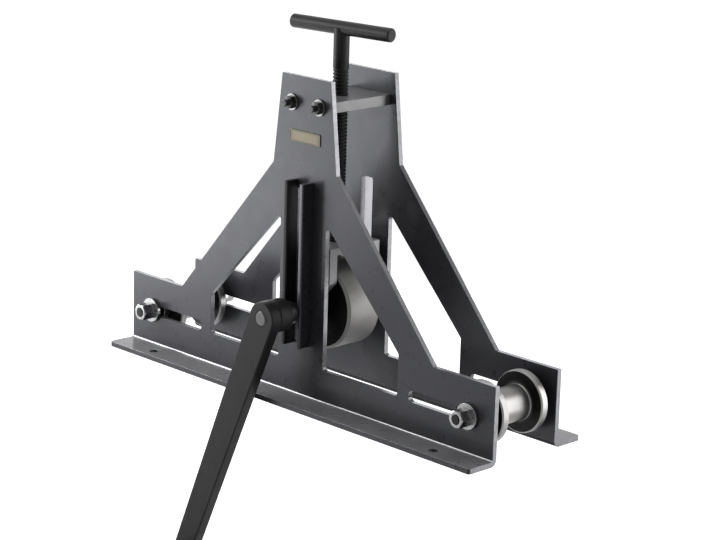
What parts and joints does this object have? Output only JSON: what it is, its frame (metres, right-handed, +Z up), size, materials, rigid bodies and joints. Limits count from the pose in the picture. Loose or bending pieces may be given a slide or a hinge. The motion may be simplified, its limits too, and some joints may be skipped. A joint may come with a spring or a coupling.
{
  "type": "manual pipe bender",
  "caption": "Hand-cranked roller pipe bender: two bent side plates, a T-handled screw that feeds the driven centre roller down, and flanged lower rollers on sliding axles.",
  "frame": {"origin": "centre of the four bench bolt holes, on the underside of the plates' feet", "axes": "+X along the base, -Y towards the crank, +Z up along the screw"},
  "size_m": [0.6, 0.307, 0.663],
  "materials": {
    "frame_paint": "satin charcoal paint",
    "cross_steel": "satin charcoal paint",
    "black_paint": "satin black paint",
    "black_steel": "oiled black oxide",
    "roller_steel": "turned bright steel",
    "zinc_plate": "bright zinc plate",
    "bronze": "machined bronze",
    "label_brass": "brushed brass, bare",
    "grip_plastic": "moulded, fine grain"
  },
  "bodies": {
    "frame": {"front_plate": "frame_paint", "rear_plate": "frame_paint", "bridge_plate": "cross_steel", "lead_nut": "bronze", "bridge_bolts": "black_steel", "bridge_washers": "zinc_plate", "label_plate": "label_brass", "front_rail_left": "frame_paint", "front_rail_right": "frame_paint", "rear_rail_left": "frame_paint", "rear_rail_right": "frame_paint"},
    "carriage": {"yoke": "cross_steel", "front_shaft_bush": "bronze", "rear_shaft_bush": "bronze", "screw_bush": "bronze", "thrust_washer": "black_steel"},
    "screw": {"lead_screw": "black_steel", "tee_bar": "black_paint", "retaining_nut": "zinc_plate", "retaining_pin": "roller_steel"},
    "crank": {"drive_shaft": "black_steel", "centre_roller": "roller_steel", "roller_key": "roller_steel", "front_spacer": "black_steel", "rear_collar": "black_steel", "rear_collar_screw": "black_steel", "crank_hub": "black_paint", "hub_grub_screw": "black_steel", "crank_arm": "black_paint", "grip_spindle": "zinc_plate", "grip_nut": "zinc_plate"},
    "grip": {"crank_grip": "grip_plastic"},
    "left_axle": {"left_axle_stud": "black_steel", "left_axle_sleeve": "roller_steel", "left_axle_spacers": "zinc_plate", "left_axle_washers": "zinc_plate", "left_axle_nuts": "zinc_plate"},
    "left_spool": {"left_roller": "roller_steel", "left_roller_bushes": "bronze"},
    "right_axle": {"right_axle_stud": "black_steel", "right_axle_sleeve": "roller_steel", "right_axle_spacers": "zinc_plate", "right_axle_washers": "zinc_plate", "right_axle_nuts": "zinc_plate"},
    "right_spool": {"right_roller": "roller_steel", "right_roller_bushes": "bronze"}
  },
  "joints": [
    {"name": "carriage_slide", "type": "slide", "parent": "frame", "child": "carriage", "axis": [0, 0, 1], "range_m": [-0.03, 0.12]},
    {"name": "screw_turn", "type": "hinge", "parent": "carriage", "child": "screw", "pos_m": [0, 0, 0.3], "axis": [0, 0, 1], "range_deg": [-2701, 10801]},
    {"name": "crank_turn", "type": "hinge", "parent": "carriage", "child": "crank", "pos_m": [0, 0, 0.106], "axis": [0, 1, 0], "continuous": true},
    {"name": "grip_turn", "type": "hinge", "parent": "crank", "child": "grip", "pos_m": [-0.13619, -0.1665, -0.21641], "axis": [0, 1, 0], "continuous": true},
    {"name": "left_axle_slide", "type": "slide", "parent": "frame", "child": "left_axle", "axis": [1, 0, 0], "range_m": [0, 0.084]},
    {"name": "left_spool_turn", "type": "hinge", "parent": "left_axle", "child": "left_spool", "pos_m": [-0.263, 0, 0.0478], "axis": [0, 1, 0], "continuous": true},
    {"name": "right_axle_slide", "type": "slide", "parent": "frame", "child": "right_axle", "axis": [-1, 0, 0], "range_m": [0, 0.084]},
    {"name": "right_spool_turn", "type": "hinge", "parent": "right_axle", "child": "right_spool", "pos_m": [0.263, 0, 0.0478], "axis": [0, 1, 0], "continuous": true}
  ],
  "couplings": [
    {"joint": "screw_turn", "follows": "carriage_slide", "rad_per_m": 1570.8}
  ]
}
